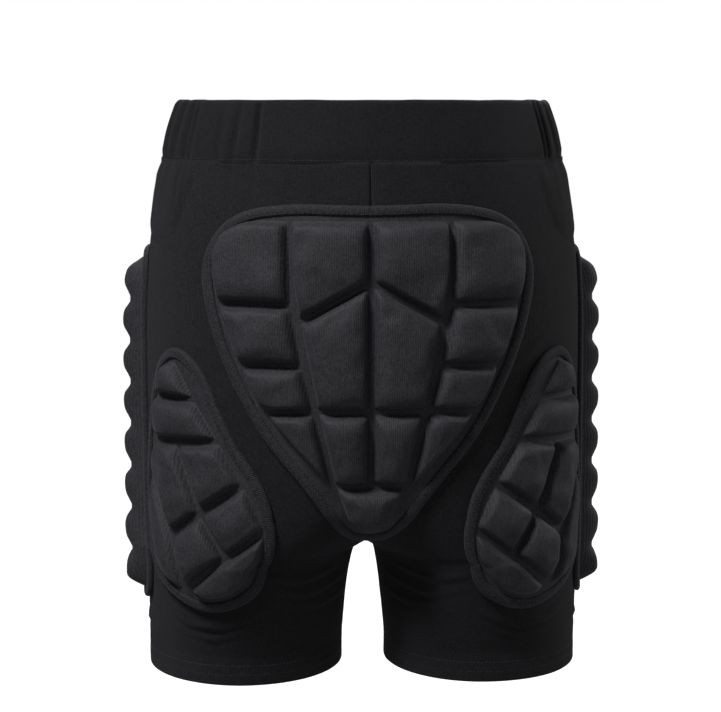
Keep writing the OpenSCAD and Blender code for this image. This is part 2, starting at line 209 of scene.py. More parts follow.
SEAT_CELLS = [
    [(0.483, -0.036), (0.77, -0.034), (0.89, -0.068), (0.95, -0.12), (0.957, -0.192),
     (0.927, -0.284), (0.47, -0.284)],
    [(0, -0.036), (0.483, -0.036), (0.487, -0.2), (0.436, -0.336), (0, -0.216)],
    [(0.47, -0.284), (0.927, -0.284), (0.8, -0.46), (0.406, -0.46)],
    [(0, -0.216), (0.436, -0.336), (0.333, -0.592), (0, -0.592)],
    [(0.406, -0.46), (0.8, -0.46), (0.658, -0.596), (0.333, -0.592)],
    [(0.333, -0.592), (0.658, -0.596), (0.214, -0.85)],
    [(0, -0.592), (0.333, -0.592), (0.23, -0.814), (0, -0.814)]]
TAIL_CELL = [(-0.23, -0.814), (0.23, -0.814), (0.15, -0.925), (0, -0.965), (-0.15, -0.925)]
THIGH_CELLS = [
    [(0, -0.035), (0.26, -0.05), (0.52, -0.186), (-0.34, -0.186)],
    [(-0.34, -0.186), (0.52, -0.186), (0.57, -0.361), (-0.62, -0.335)],
    [(-0.62, -0.335), (0.06, -0.358), (-0.13, -0.618), (-0.78, -0.492)],
    [(0.06, -0.358), (0.57, -0.361), (0.8, -0.46), (0.39, -0.717), (-0.13, -0.618)],
    [(-0.78, -0.492), (-0.13, -0.618), (-0.4, -0.782), (-0.95, -0.66)],
    [(-0.13, -0.618), (0.39, -0.717), (0.27, -0.92), (-0.4, -0.782)],
    [(-0.95, -0.66), (0.25, -0.925), (0, -0.965), (-0.35, -0.945), (-0.65, -0.885),
     (-0.87, -0.79)],
    [(0.8, -0.47), (0.94, -0.6), (0.93, -0.72), (0.8, -0.84), (0.57, -0.91), (0.29, -0.935),
     (0.4, -0.717)]]
BINDING_W, GAP = 6 * MM, 0.5 * MM
SIDE_ROWS = 8


def side_cells():
    margin = BINDING_W + GAP
    row_h, w = (SIDE_H - 2 * margin) / SIDE_ROWS, SIDE_W / 2 - margin
    cells = []
    for row in range(SIDE_ROWS):
        top = -margin - row * row_h
        low, bend = top - row_h, row_h * 0.12
        cells.append([(-w, top), (-w, low), (0, low - bend), (0, top - bend)])
        cells.append([(0, top - bend), (0, low - bend), (w, low), (w, top)])
    return [np.array(c) for c in cells]


def scaled(points, half, height):
    return np.array(points) * (half, height)


def mirrored(cell):
    return np.array(cell) * (-1, 1)


seat_cells = [scaled(TAIL_CELL, SEAT_W / 2, SEAT_H)]
for cell in SEAT_CELLS:
    seat_cells += [scaled(cell, SEAT_W / 2, SEAT_H), mirrored(scaled(cell, SEAT_W / 2, SEAT_H))]
thigh_cells = [scaled(c, THIGH_W / 2, THIGH_H) for c in THIGH_CELLS]
print(len(seat_cells), "seat blocks,", len(thigh_cells), "on each thigh,", 2 * SIDE_ROWS, "on each side")


# %% Curves through points
def spline(points, steps):
    """A closed smooth curve through the points."""
    p, out = np.array(points, float), []
    n = len(p)
    for i in range(n):
        a, b, c, d = p[i - 1], p[i], p[(i + 1) % n], p[(i + 2) % n]
        for k in range(steps):
            t = k / steps
            out.append(b + 0.5 * t * (c - a + t * (2 * a - 5 * b + 4 * c - d + t * (3 * (b - c) + d - a))))
    return np.array(out)


def whole(half):
    """A half outline from its top middle down, made a closed loop, clockwise."""
    middle = [p for p in half[1:] if p[0] > 0]
    bottom = [p for p in half[1:] if p[0] == 0]
    return [half[0], *middle, *bottom, *[(-x, y) for x, y in reversed(middle)]]


def closed_line(points):
    return np.vstack([points, points[:1]])


def even(points, step):
    """The same closed line with points about step apart."""
    line = closed_line(points)
    along = np.concatenate([[0], np.cumsum(np.linalg.norm(np.diff(line, axis=0), axis=1))])
    count = max(8, int(round(along[-1] / step)))
    at = np.linspace(0, along[-1], count, endpoint=False)
    return np.stack([np.interp(at, along, line[:, k]) for k in range(line.shape[1])], axis=1)


def edge_curve(half, half_w, height):
    return scaled(spline(whole(half), 24), half_w, height)


seat_edge = edge_curve(SEAT_EDGE, SEAT_W / 2, SEAT_H)
thigh_edge = edge_curve(THIGH_EDGE, THIGH_W / 2, THIGH_H)
side_edge = edge_curve(SIDE_EDGE, SIDE_W / 2, SIDE_H)
hip_pad_edge = edge_curve(HIP_PAD_EDGE, HIP_PAD_W / 2, HIP_PAD_H)


def inward(edge, d):
    """A closed clockwise line moved in by d."""
    ahead = np.roll(edge, -1, axis=0) - np.roll(edge, 1, axis=0)
    ahead /= np.linalg.norm(ahead, axis=1)[:, None]
    across = np.stack([ahead[:, 1], -ahead[:, 0]], axis=1)
    return edge + np.reshape(d, (-1, 1)) * across


def signed_inside(u, v, edge):
    """How far inside a closed line each point is, and below 0 outside it."""
    line = even(edge, 2 * MM)
    after = np.roll(line, -1, axis=0)
    best = np.full(np.shape(u), np.inf)
    crossings = np.zeros(np.shape(u), int)
    for (ax, ay), (bx, by) in zip(line, after):
        dx, dy = bx - ax, by - ay
        t = np.clip(((u - ax) * dx + (v - ay) * dy) / (dx * dx + dy * dy), 0, 1)
        best = np.minimum(best, np.hypot(u - ax - t * dx, v - ay - t * dy))
        if ay != by:
            cross = ((ay > v) != (by > v)) & (u < dx * (v - ay) / dy + ax)
            crossings += cross
    return np.where(crossings % 2 == 1, best, -best)


print("seat pad outline:", len(seat_edge), "points")

# %% [markdown]
# ## Mesh and noise helpers
#
# Most pieces are grids of points, so one function makes a mesh from a grid, with a UV map in
# metres along the cloth. Knit, ribs and weave read that map, which lets them follow the cloth
# round a leg. Noise is always sampled at fixed places, so every run gives the same folds.


# %% Helpers
def add_object(name, data):
    obj = bpy.data.objects.new(name, data)
    bpy.context.collection.objects.link(obj)
    return obj


def new_mesh(name, points, faces, uv=None):
    """A smooth-shaded mesh; uv is one pair for each point, in metres along the cloth."""
    mesh = bpy.data.meshes.new(name)
    mesh.from_pydata([tuple(p) for p in points], [], [tuple(f) for f in faces])
    if uv is not None:
        layer = mesh.uv_layers.new(name="cloth")
        corners = np.zeros(len(mesh.loops), np.int32)
        mesh.loops.foreach_get("vertex_index", corners)
        layer.data.foreach_set("uv", np.asarray(uv, np.float32)[corners].ravel())
    mesh.polygons.foreach_set("use_smooth", [True] * len(mesh.polygons))
    mesh.update()
    return add_object(name, mesh)


def grid_faces(rows, cols, around=False, start=0, flip=False):
    """Quads of a grid whose rows run down and whose columns run to the right, seen from outside."""
    i, j = np.meshgrid(np.arange(rows - 1), np.arange(cols if around else cols - 1), indexing="ij")
    a, b = start + i * cols + j, start + i * cols + (j + 1) % cols
    quads = np.stack([a, a + cols, b + cols, b], axis=-1).reshape(-1, 4)
    return quads[:, ::-1] if flip else quads


def tube(name, rings, around, step, flip, turned=False):
    """A tube from rings of points. around is the way round it at each point, and step the way
    from ring to ring; turned swaps them in the UV map."""
    points = np.array(rings)
    uv = np.stack(np.meshgrid(around, np.arange(len(points)) * step), axis=-1)
    if turned:
        uv = uv[..., ::-1]
    faces = grid_faces(*points.shape[:2], around=True, flip=flip)
    return new_mesh(name, points.reshape(-1, 3), faces, uv.reshape(-1, 2))


def dress(piece, material, slot, *nodes):
    """Give a piece its finish and what it rides on, and hide the parts that it stands for; slot is not
    used.
    """
    piece.data.materials.append(material)
    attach(piece, ROOT)
    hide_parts(*nodes)
    return piece


def to_half(angle):
    """The angle on the right half that an angle all the way round mirrors to."""
    return np.where(angle > 180, 360 - angle, angle)


def wobble(points, size, seed):
    """Smooth noise from -1 to 1 at each point, with features about size across."""
    shift = Vector((seed * 7.3, seed * 3.1, seed * 5.7))
    flat = np.asarray(points).reshape(-1, 3) / size
    values = [noise.noise(Vector(p) + shift) for p in flat]
    return np.array(values).reshape(np.shape(points)[:-1])


def mirror_points(points, side):
    return points * (side, 1, 1)


def closest(points, line):
    """The distance from flat points to an open line, and the share of the way along it."""
    best, along = np.full(points.shape[:-1], np.inf), np.zeros(points.shape[:-1])
    steps = np.linalg.norm(np.diff(line, axis=0), axis=1)
    total, done = steps.sum(), 0
    for (a, b), step in zip(zip(line[:-1], line[1:]), steps):
        d = b - a
        t = np.clip(((points - a) @ d) / (step * step), 0, 1)
        away = np.linalg.norm(points - a - t[..., None] * d, axis=-1)
        nearer = away < best
        best = np.where(nearer, away, best)
        along = np.where(nearer, (done + t * step) / total, along)
        done += step
    return best, along


print("helpers ready")

# %% [markdown]
# ## Materials
#
# Everything here is black, so the finishes have to differ in grain, gloss and depth. Three
# effects are shared and built once as node groups: a knit of tiny loops, fine ribs, and
# a slow mottling that keeps large areas from looking painted. A group only puts out values;
# the shader itself stays in each material.

# %% Node group helpers
def group(name, inputs, outputs):
    tree = bpy.data.node_groups.new(name, "ShaderNodeTree")
    for label, default in inputs:
        socket = tree.interface.new_socket(label, in_out="INPUT", socket_type="NodeSocketFloat")
        socket.default_value = default
    for label in outputs:
        tree.interface.new_socket(label, in_out="OUTPUT", socket_type="NodeSocketFloat")
    return tree, tree.nodes.new("NodeGroupInput"), tree.nodes.new("NodeGroupOutput")


def math_node(tree, operation, a, b=None):
    node = tree.nodes.new("ShaderNodeMath")
    node.operation = operation
    for socket, value in zip(node.inputs, (a, b)):
        if isinstance(value, (int, float)):
            socket.default_value = value
        elif value is not None:
            tree.links.new(value, socket)
    return node.outputs[0]


def cloth_axes(tree):
    uv = tree.nodes.new("ShaderNodeUVMap")
    uv.uv_map = "cloth"
    split = tree.nodes.new("ShaderNodeSeparateXYZ")
    tree.links.new(uv.outputs[0], split.inputs[0])
    return uv.outputs[0], split.outputs[0], split.outputs[1]


# %% The knit: columns of small loops
def make_knit():
    tree, given, out = group("knit", [("Pitch", 0.001)], ["Height"])
    _, u, v = cloth_axes(tree)
    column = math_node(tree, "DIVIDE", u, given.outputs["Pitch"])
    row = math_node(tree, "DIVIDE", v, given.outputs["Pitch"])
    half_turns = math_node(tree, "MULTIPLY", column, math.pi)
    bend = math_node(tree, "ABSOLUTE", math_node(tree, "SINE", half_turns))
    turns = math_node(tree, "MULTIPLY", math_node(tree, "ADD", row, bend), 2 * math.pi)
    loop = math_node(tree, "SINE", turns)
    height = math_node(tree, "ADD", bend, math_node(tree, "MULTIPLY", loop, 0.35))
    tree.links.new(height, out.inputs["Height"])
    return tree


# %% The ribs: fine lines that run down the cloth
def make_ribs():
    tree, given, out = group("ribs", [("Pitch", 0.0016), ("Waver", 0.4)], ["Height"])
    uv, u, _ = cloth_axes(tree)
    drift = tree.nodes.new("ShaderNodeTexNoise")
    drift.inputs["Scale"].default_value = 90
    tree.links.new(uv, drift.inputs["Vector"])
    turns = math_node(tree, "DIVIDE", u, given.outputs["Pitch"])
    sway = math_node(tree, "MULTIPLY", drift.outputs[0], given.outputs["Waver"])
    moved = math_node(tree, "ADD", turns, sway)
    wave = math_node(tree, "SINE", math_node(tree, "MULTIPLY", moved, 2 * math.pi))
    tree.links.new(math_node(tree, "MULTIPLY", math_node(tree, "ADD", wave, 1), 0.5), out.inputs["Height"])
    return tree


# %% The mottling: slow changes in shade
def make_mottle():
    tree, given, out = group("mottle", [("Size", 0.03), ("Fine", 0.0016)], ["Shade", "Fuzz"])
    where = tree.nodes.new("ShaderNodeTexCoord").outputs["Object"]
    for label, socket in (("Size", "Shade"), ("Fine", "Fuzz")):
        spots = tree.nodes.new("ShaderNodeTexNoise")
        spots.inputs["Detail"].default_value = 4
        tree.links.new(where, spots.inputs["Vector"])
        tree.links.new(math_node(tree, "DIVIDE", 1.0, given.outputs[label]), spots.inputs["Scale"])
        tree.links.new(spots.outputs[0], out.inputs[socket])
    return tree


KNIT, RIBS, MOTTLE = make_knit(), make_ribs(), make_mottle()
print("node groups:", [g.name for g in (KNIT, RIBS, MOTTLE)])


# %% One recipe for every cloth
def cloth_material(name, dark, light, grain, pitch, depth, rough, sheen, fuzz=0.4, waver=0.4,
                   grain_share=0.2, gloss=0.2, contrast=2.2):
    """A cloth whose grain group, pitch and depth in metres, shades and gloss are given."""
    material = bpy.data.materials.new(name)
    material.use_nodes = True
    tree = material.node_tree
    shader = tree.nodes["Principled BSDF"]
    shader.inputs["Sheen Weight"].default_value = sheen
    shader.inputs["Sheen Roughness"].default_value = 0.45
    shader.inputs["Sheen Tint"].default_value = (0.75, 0.78, 0.9, 1)
    shader.inputs["Specular IOR Level"].default_value = gloss
    weave = tree.nodes.new("ShaderNodeGroup")
    weave.node_tree = grain
    weave.inputs["Pitch"].default_value = pitch
    if "Waver" in weave.inputs:
        weave.inputs["Waver"].default_value = waver
    mottle = tree.nodes.new("ShaderNodeGroup")
    mottle.node_tree = MOTTLE
    grainy = math_node(tree, "MULTIPLY", weave.outputs["Height"], grain_share)
    soft = math_node(tree, "MULTIPLY", mottle.outputs["Shade"], 0.4)
    speck = math_node(tree, "MULTIPLY", math_node(tree, "SUBTRACT", mottle.outputs["Fuzz"], 0.4), contrast)
    tone = math_node(tree, "ADD", math_node(tree, "ADD", grainy, soft), speck)
    colours = tree.nodes.new("ShaderNodeMix")
    colours.data_type = "RGBA"
    colours.inputs["A"].default_value = (*dark, 1)
    colours.inputs["B"].default_value = (*light, 1)
    tree.links.new(tone, colours.inputs["Factor"])
    tree.links.new(colours.outputs["Result"], shader.inputs["Base Color"])
    spread = math_node(tree, "MULTIPLY", mottle.outputs["Fuzz"], 0.2)
    tree.links.new(math_node(tree, "ADD", spread, rough - 0.1), shader.inputs["Roughness"])
    bump = tree.nodes.new("ShaderNodeBump")
    bump.inputs["Distance"].default_value = depth
    bump.inputs["Strength"].default_value = 1
    nap = math_node(tree, "MULTIPLY", mottle.outputs["Fuzz"], fuzz)
    rise = math_node(tree, "ADD", weave.outputs["Height"], nap)
    tree.links.new(rise, bump.inputs["Height"])
    tree.links.new(bump.outputs[0], shader.inputs["Normal"])
    return material


# %% The finishes
shell_jersey = cloth_material("shell_jersey", (0.0022, 0.0021, 0.0028), (0.0155, 0.0152, 0.0182),
                              KNIT, 0.0011, 0.00016, 0.86, 0.05)
waistband_jersey = cloth_material("waistband_jersey", (0.0018, 0.0018, 0.0025), (0.0125, 0.0122, 0.0152),
                                  KNIT, 0.0010, 0.00014, 0.84, 0.04)
pad_face = cloth_material("pad_face", (0.009, 0.0087, 0.011), (0.041, 0.0402, 0.0478),
                          RIBS, 0.0015, 0.00012, 0.70, 0.06, fuzz=0.3, waver=1.3,
                          grain_share=0.26, gloss=0.26, contrast=1.7)
binding_tape = cloth_material("binding_tape", (0.007, 0.0068, 0.0086), (0.033, 0.0322, 0.038),
                              RIBS, 0.0013, 0.0002, 0.78, 0.08, waver=0.1)
pad_backing = cloth_material("pad_backing", (0.005, 0.005, 0.006), (0.02, 0.02, 0.022),
                             KNIT, 0.0018, 0.0002, 0.85, 0.05)
foam_cloth = cloth_material("foam_cloth", (0.009, 0.009, 0.010), (0.03, 0.03, 0.032),
                            KNIT, 0.0016, 0.00015, 0.9, 0.05)
elastic_weave = cloth_material("elastic_weave", (0.015, 0.015, 0.017), (0.06, 0.06, 0.065),
                               RIBS, 0.0012, 0.00025, 0.75, 0.05, waver=0.05, grain_share=0.4)
thread = cloth_material("thread", (0.014, 0.014, 0.016), (0.045, 0.045, 0.05),
                        RIBS, 0.0004, 0.00003, 0.55, 0.12)
print("finishes made:", [m.name for m in bpy.data.materials])

# %% [markdown]
# ## The shell
#
# The shell is cut as two back panels and two front panels that run from the waistband down
# the legs. Each panel is a fine grid on the form. The cloth isn't perfectly smooth: it gathers
# under the elastic, bulges over the hip pads sewn inside it, creases where a thigh pad ends
# and where the legs part, and sinks a little at each seam. All of that is one height function,
# so a stitch or a neighbouring panel that asks for the same place gets the same height.

# %% Folds that run down from the gathered elastic
chance = np.random.default_rng(4)
FOLD_ANGLES = np.linspace(59, 116, 12) + chance.uniform(-1.9, 1.9, 12)
FOLD_DEPTHS = chance.uniform(0.45, 1.0, 12) * np.where(FOLD_ANGLES < 82, 1.0, 0.75)
FOLD_WIDTHS = chance.uniform(0.9, 1.5, 12)
FOLD_LEANS = chance.uniform(-28, 28, 12)
GATHER_START, GATHER_END = 52, 122
FOLD_FADE = 0.03
# single folds and a crease that only the left side has, nearer to the middle
LEFT_CREASE = [(53, -0.046), (48, -0.060), (42, -0.079)]
LEFT_FOLDS = [(34.5, 0.95, 1.1, 8), (41.5, 0.5, 1.3, -14), (47.5, 0.3, 1.6, 10)]
LEFT_TURN = 1.9


def in_gathers(angle, fade_out=6):
    """1 where the elastic gathers the cloth, and 0 where the band is smooth."""
    return smooth((angle - GATHER_START) / 6) * smooth((GATHER_END - angle) / fade_out)


def groove(away, width):
    """1 on a line and soon 0 beside it."""
    return np.exp(-((away / width) ** 2))


def fold_depth(angle, z, folds):
    """Depth of folds that are each given as (angle, depth, width, lean)."""
    depth = np.zeros(np.shape(angle))
    for at, deep, wide, lean in folds:
        centre = at + lean * (z + BAND_H / 2)
        depth += deep * groove(angle - centre, wide)
    return depth


def gathers(angle, z, left):
    """Depth from 0 to about 1 of the folds at an angle of the right half; left is 1 or 0."""
    angle = angle + LEFT_TURN * left
    shared = fold_depth(angle, z, zip(FOLD_ANGLES, FOLD_DEPTHS, FOLD_WIDTHS, FOLD_LEANS))
    return shared * in_gathers(angle, 7) + left * fold_depth(angle, z, LEFT_FOLDS)


def bump_line(points, line, width):
    """A soft ridge along an open line of (angle, z) points, in degrees and metres."""
    stretch = np.array([0.0019, 1])
    away, along = closest(np.stack(points, axis=-1) * stretch, np.array(line) * stretch)
    return groove(away, width) * np.sin(np.pi * np.clip(along, 0.02, 0.98)) ** 0.6


# %% Creases, seams and the swell of the hip pads
CREASE_RISE, CREASE_SINK, LEFT_CREASE_SINK = 1.5, 0.8, 1.3 * MM
GATHER_SINK, HIP_SWELL, HIP_GROOVE = 2.3 * MM, 1.4 * MM, 0.7 * MM
SEAM_SINK, SIDE_SEAM_W, MIDDLE_SEAM_W = 0.5 * MM, 1.1 * MM, 1.2 * MM
HEM_ROW_SINK, HEM_ROW_W = 0.28 * MM, 0.9 * MM
# each crease is a line of (angle, level) on the right half, its width and its size
CREASES = [
    ([(-6, -0.377), (14, -0.387), (34, -0.386), (52, -0.377)], 2.6 * MM, 1.1 * MM),
    ([(-2, -0.388), (18, -0.397), (42, -0.393)], 2.2 * MM, 0.8 * MM),
    ([(60, -0.390), (84, -0.397), (104, -0.391)], 2.4 * MM, 0.7 * MM),
    ([(-58, -0.346), (-30, -0.352), (-6, -0.345)], 2.4 * MM, 0.9 * MM),
    ([(-70, -0.357), (-36, -0.364), (-12, -0.359)], 2.2 * MM, 0.8 * MM),
    ([(-80, -0.371), (-48, -0.375), (-20, -0.370)], 2.2 * MM, 0.6 * MM),
    ([(12, -0.262), (22, -0.246), (30, -0.222)], 2.6 * MM, 0.6 * MM),
    ([(34, -0.198), (44, -0.187), (53, -0.171)], 2.2 * MM, 0.8 * MM),
    ([(40, -0.186), (50, -0.176), (62, -0.166)], 2.0 * MM, 0.6 * MM),
    ([(200, -0.335), (224, -0.345), (250, -0.350)], 2.6 * MM, 0.9 * MM),
    ([(196, -0.352), (216, -0.360), (244, -0.366)], 2.4 * MM, 0.7 * MM),
    ([(150, -0.300), (165, -0.318), (185, -0.326)], 3.0 * MM, 0.7 * MM)]


def flat_in(place_angle, drop, angle, z):
    """Flat (u, v) of a place on the form, in a pad that is wrapped round place_angle."""
    return np.radians(angle - place_angle) * mean_radius(z), z + drop


def shell_height(angle, z, side):
    """How far the shell's outer face stands off the plain form."""
    here = mirror_points(skin(angle, z, 0), side)
    slow = wobble(here, 0.05, 3 + side) * 0.7 * MM
    pull = wobble(here * (1, 1, 2.6), 0.016, 9 + side) * 0.16 * MM
    # folds under the band start small at its seam and fade out below
    under = np.clip(-BAND_H - z, 0, 1)
    below = np.exp(-under / 0.015) * (0.3 + 0.7 * smooth(under / 0.009))
    ripple = gathers(angle, np.maximum(z, -BAND_H - FOLD_FADE), float(side < 0))
    height = slow + pull - GATHER_SINK * ripple * below
    # the hip pad inside lifts the cloth, and its row of stitches draws it in
    u, v = flat_in(HIP_PAD_ANGLE, HIP_PAD_DROP, angle, z)
    near = (np.abs(u) < 0.06) & (v > -0.075) & (v < 0.012)
    deep = np.full(np.shape(u), -1.0)
    if near.any():
        deep[near] = signed_inside(u[near], v[near], hip_pad_edge)
    height = height + HIP_SWELL * smooth(deep / 0.009) - HIP_GROOVE * groove(deep, 0.0012)
    for line, width, size in CREASES:
        height = height + CREASE_RISE * size * bump_line((angle, z), line, width)
        height = height - CREASE_SINK * size * bump_line((angle, z + 1.9 * width), line, width)
    if side < 0:
        height = height - LEFT_CREASE_SINK * bump_line((angle, z), LEFT_CREASE, 2.4 * MM)
    side_seam = (angle - 90) * np.radians(1) * mean_radius(z)
    height = height - SEAM_SINK * groove(side_seam, SIDE_SEAM_W)
    height = height - SEAM_SINK * groove(here[..., 0], MIDDLE_SEAM_W) * (z > -RISE)
    hem = sum(groove(z + LEG_LENGTH - up, HEM_ROW_W) for up in HEM_ROWS)
    return height - HEM_ROW_SINK * hem


print(len(FOLD_ANGLES), "folds a side and", len(CREASES), "creases a side")


# %% Rows of levels and the four panels
SHELL_TOP = -BAND_H + 0.0015
HEM_FOLD = 1.1 * MM
CLOTH_T = 1.0 * MM
SHELL_RADIUS = 0.115


def shell_levels():
    torso = mix(SHELL_TOP, -RISE, np.linspace(0, 1, 118) ** 0.93)
    legs = mix(-RISE, -LEG_LENGTH + HEM_FOLD, np.linspace(0, 1, 44) ** 1.25)
    return np.concatenate([torso, legs[1:]])


def panel(name, side, front):
    levels, across = shell_levels(), np.linspace(0, 1, 112)
    start = inner_angle(levels)
    seam = np.full(len(levels), 90.0)
    first, last = (seam, 180 - start) if front else (start, seam)
    angle = first[:, None] + (last - first)[:, None] * across
    z = np.repeat(levels[:, None], len(across), axis=1)
    height = shell_height(angle, z, side)
    points = skin(angle, z, height)
    # above the crotch, the edge at the centre seam lies in the middle plane
    points[z[:, 0] > -RISE, -1 if front else 0, 0] = 0
    # the bottom edge rolls inwards over the turned-up hem
    roll = []
    for turn in (35, 70, 105, 140):
        t = math.radians(turn)
        low = np.full(len(across), -LEG_LENGTH + HEM_FOLD * (1 - math.sin(t)))
        roll.append(skin(angle[-1], low, height[-1] - HEM_FOLD * (1 - math.cos(t)))[None])
    points = np.concatenate([points, *roll])
    rows, cols = points.shape[:2]
    uv = np.stack([np.radians(angle) * SHELL_RADIUS, z], axis=-1)
    uv = np.concatenate([uv, np.repeat(uv[-1:], rows - len(uv), axis=0)])
    points = mirror_points(points, side)
    faces = grid_faces(rows, cols, flip=side < 0)
    piece = new_mesh(name, points.reshape(-1, 3), faces, uv.reshape(-1, 2))
    wall = piece.modifiers.new("wall", "SOLIDIFY")
    wall.thickness, wall.offset = CLOTH_T, -1
    return piece


panels = {}
for word, side in SIDES.items():
    for part in ("back", "front"):
        name = f"shell_{part}_panel_{word}"
        panels[name] = panel(name, side, part == "front")
        dress(panels[name], shell_jersey, "shell_jersey", f"{part}_panel_{word}")
print("panels:", {n: len(p.data.vertices) for n, p in panels.items()})

# %% [markdown]
# ## The turned-up hems
#
# At the leg opening the cloth is turned up inside and held by two rows of stitches. The
# allowance is a ring of its own just inside the shell; outside, only the rows show.

# %% Hem allowances
# (height off the form, way up from the leg's end) in mm
HEM_SECTION = [(-1.25, 0.4), (-1.25, 10), (-1.25, 21), (-1.6, 22), (-2.1, 21), (-2.15, 10),
               (-2.1, 0.8), (-1.7, 0.3)]


def hem_ring(word, side):
    angle = np.linspace(-90, 270, 221)[:-1]
    rows = []
    for h, up in HEM_SECTION:
        z = np.full(len(angle), -LEG_LENGTH + up * MM)
        ruffle = wobble(skin(angle, z, 0), 0.012, 5) * 0.12 * MM
        rows.append(mirror_points(skin(angle, z, h * MM + ruffle), side))
    around = np.radians(angle) * LEG_R
    return tube(f"hem_allowance_{word}", rows + rows[:1], around, 2.5 * MM, flip=side > 0)


for word, side in SIDES.items():
    hem = dress(hem_ring(word, side), shell_jersey, "shell_jersey", f"leg_hem_{word}")
print("hem allowances made")

# %% [markdown]
# ## The waistband
#
# The band is a strip of the same cloth folded over a wide elastic. The back part is cut flat
# and stays smooth. At the sides the elastic pulls in a longer strip, so the cloth stands in
# deep upright folds, whose tops make the upper edge wavy. The band is swept round the waist
# from a folded section, and the folds are pressed into its outer and inner faces.

# %% The band's folded section
BAND_T = 4.2 * MM
FOLD_SIZE = 4.2 * MM
BAND_RADIUS = 0.125
TURN_Z = -3.5 * MM


def band_section():
    """(height off the form, z, share of the folds' depth) from the outer foot to the inner."""
    section = [(mix(0.2, 0.9, smooth(t * 5)) * MM * (1 if t < 0.96 else 0.95),
                mix(-BAND_H, TURN_Z, t), 1.0) for t in np.linspace(0, 1, 34)]
    middle = (0.8 * MM - BAND_T) / 2
    for t in np.radians(np.linspace(15, 165, 9)):
        out = middle + (0.8 * MM - middle) * math.cos(t)
        section.append((out, TURN_Z + 3.2 * MM * math.sin(t), 0.8))
    section += [(-BAND_T, mix(TURN_Z, -BAND_H, t), 0.75) for t in np.linspace(0, 1, 16)]
    return section


def band_pull(angle, z):
    """How far the elastic draws the band in: at the sides, and most at the top edge."""
    at_side = smooth((to_half(angle) - 40) / 25) * smooth((140 - to_half(angle)) / 25)
    return MM * at_side * (1.2 + 2.6 * share(z, -0.026, 0) ** 1.5)


def band_fold(angle, z):
    """How deep the folds of the band are, shallow at its sewn foot and its top edge."""
    up = np.clip((z + BAND_H) / BAND_H, 0, 1)
    ends = 0.25 + 0.75 * np.sin(np.pi * up) ** 0.5
    return FOLD_SIZE * gathers(to_half(angle), z, (angle > 180).astype(float)) * ends


def band_stand(angle, z, h, take):
    """How far a line of the folded section stands off the form, with its folds."""
    soft = wobble(skin(angle, z, h) * (1, 1, 0.5), 0.02, 11) * 0.35 * MM
    swell = in_gathers(to_half(angle)) * 1.0 * MM * np.clip((z + BAND_H) / 0.008, 0, 1) * take
    return h + soft + swell - band_pull(angle, z) - take * band_fold(angle, z)


def waistband():
    angle = np.linspace(0, 360, 901)[:-1]
    crest_size = (0.5 + 0.9 * in_gathers(to_half(angle))) * MM
    rows = []
    for h, z, take in band_section():
        level = np.full(len(angle), z)
        here = skin(angle, level, h)
        crest = wobble(here * (1, 1, 0), 0.022, 17) * crest_size * share(z, -0.02, 0)
        x, y, up = np.moveaxis(skin(angle, level, band_stand(angle, level, h, take)), -1, 0)
        rows.append(np.stack([x, y, np.minimum(up + crest, 0.0)], axis=-1))
    return tube("waistband", rows + rows[:1], np.radians(angle) * BAND_RADIUS, 1.4 * MM, flip=True)


band = dress(waistband(), waistband_jersey, "waistband_jersey",
             "waistband_back", "waistband_front", "waistband_left", "waistband_right")
print("waistband:", len(band.data.polygons), "faces")

# %% The elastic inside the band
def elastic_ring():
    angle = np.linspace(0, 360, 241)[:-1]
    rise = np.linspace(-41.5, -3.2, 12)
    profile = [(-1.8, z) for z in rise] + [(-2.0, -2.7), (-2.6, -2.7)] + [(-2.9, z) for z in rise[::-1]]
    profile.append((-2.3, -41.9))
    ripple = 0.1 * MM * np.sin(np.radians(angle * 60))
    rows = []
    for h, z in profile:
        level = np.full(len(angle), z * MM)
        pressed = band_pull(angle, level) + 0.8 * band_fold(angle, level)
        rows.append(skin(angle, level, h * MM + ripple - pressed))
    around = np.radians(angle) * BAND_RADIUS
    return tube("waist_elastic_web", rows + rows[:1], around, 2.9 * MM, flip=True, turned=True)


elastic = dress(elastic_ring(), elastic_weave, "elastic", "waist_elastic")

# %% [markdown]
# ## Padded panels
#
# A pad here is foam blocks under one stretch face, pressed flat between the blocks. The face
# is drawn as a height over the flat pad: steep at a block's sides, crowned in the middle and
# pinched at its corners. Then a short cloth simulation with air pressure under the face, held
# in the channels, gives the swell and small wrinkles that a formula lacks. The simulation
# runs on every second point of the grid, and its movement is added to the fine grid.

# %% Height over a block
CHANNEL_HALF = 2.1 * MM
PAD_LAYER = 2.3 * MM
CORNER_TURN = 38
CORNER_SOFT, WALL_REACH, CROWN_REACH, CROWN_LEAN = 1.5 * MM, 4.4 * MM, 15.5 * MM, 2 * MM


def block_sides(cell):
    """A block's edges as (start, end) pairs, gathered into sides that turn at its corners."""
    cell = np.array(cell)
    after = np.roll(cell, -1, axis=0)
    if np.sum(cell[:, 0] * after[:, 1] - after[:, 0] * cell[:, 1]) < 0:
        cell = cell[::-1]
        after = np.roll(cell, -1, axis=0)
    heading = np.degrees(np.arctan2(*(after - cell).T[::-1]))
    turn = (heading - np.roll(heading, 1) + 180) % 360 - 180
    first = int(np.argmax(turn))
    sides = []
    for i in range(len(cell)):
        k = (first + i) % len(cell)
        if i == 0 or turn[k] > CORNER_TURN:
            sides.append([])
        sides[-1].append((cell[k], after[k]))
    return sides


